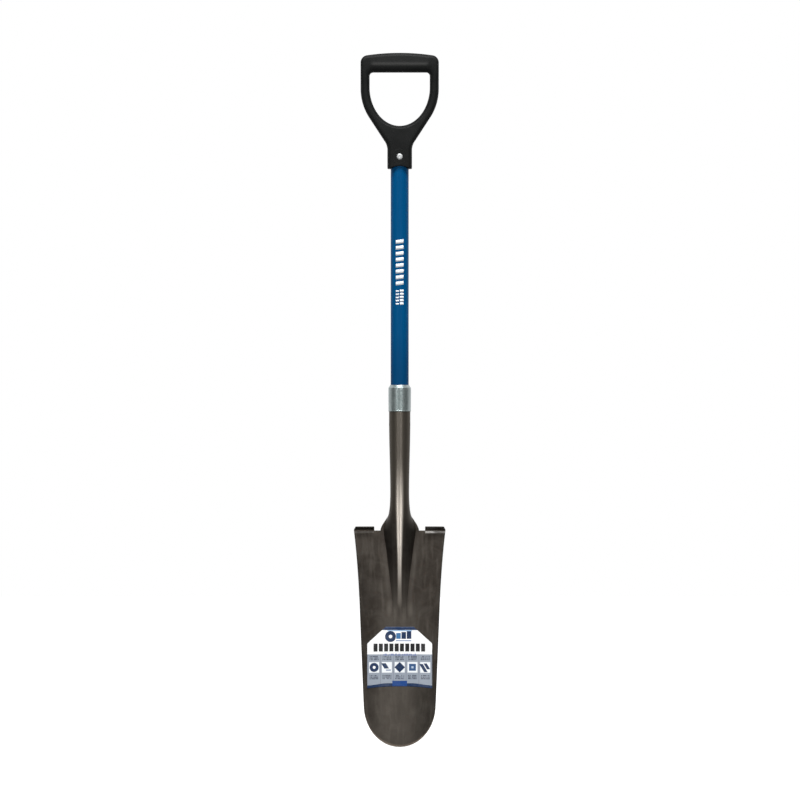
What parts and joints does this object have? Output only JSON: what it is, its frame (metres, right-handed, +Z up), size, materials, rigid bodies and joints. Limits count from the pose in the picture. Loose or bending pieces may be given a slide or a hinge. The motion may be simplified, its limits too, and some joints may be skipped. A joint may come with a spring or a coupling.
{
  "type": "drain spade",
  "caption": "Long-handled drain spade with a narrow round-tipped blade, forward-turned foot steps, a rolled socket, a tubular handle and a D-grip.",
  "frame": {"origin": "on the handle's axis, level with the lowest point of the blade's tip, where the tool meets the ground", "axes": "+Z up along the handle from the tip to the grip; -Y is the front, the side that the dished working face looks to; +X is to the right seen from the front"},
  "size_m": [0.1496, 0.0722, 1.1305],
  "materials": {
    "blade_steel": "heat-treated carbon steel under clear lacquer",
    "zinc_steel": "zinc-plated steel",
    "fibreglass": "blue pultruded fibreglass, satin",
    "hardwood": "turned hardwood dowel, unfinished",
    "grip_plastic": "black moulded plastic, lightly textured",
    "rivet_steel": "lacquered steel",
    "rivet_zinc": "bright zinc-plated steel",
    "blade_label_paper": null,
    "handle_label_film": null
  },
  "bodies": {
    "root": {"blade": "blade_steel", "collar": "zinc_steel", "handle_tube": "fibreglass", "lower_core_plug": "hardwood", "upper_core_plug": "hardwood", "socket_rivet": "rivet_steel", "d_grip": "grip_plastic", "grip_rivet": "rivet_zinc", "grip_rivet_washer": "rivet_zinc", "blade_label": "blade_label_paper", "handle_label": "handle_label_film"}
  },
  "joints": []
}
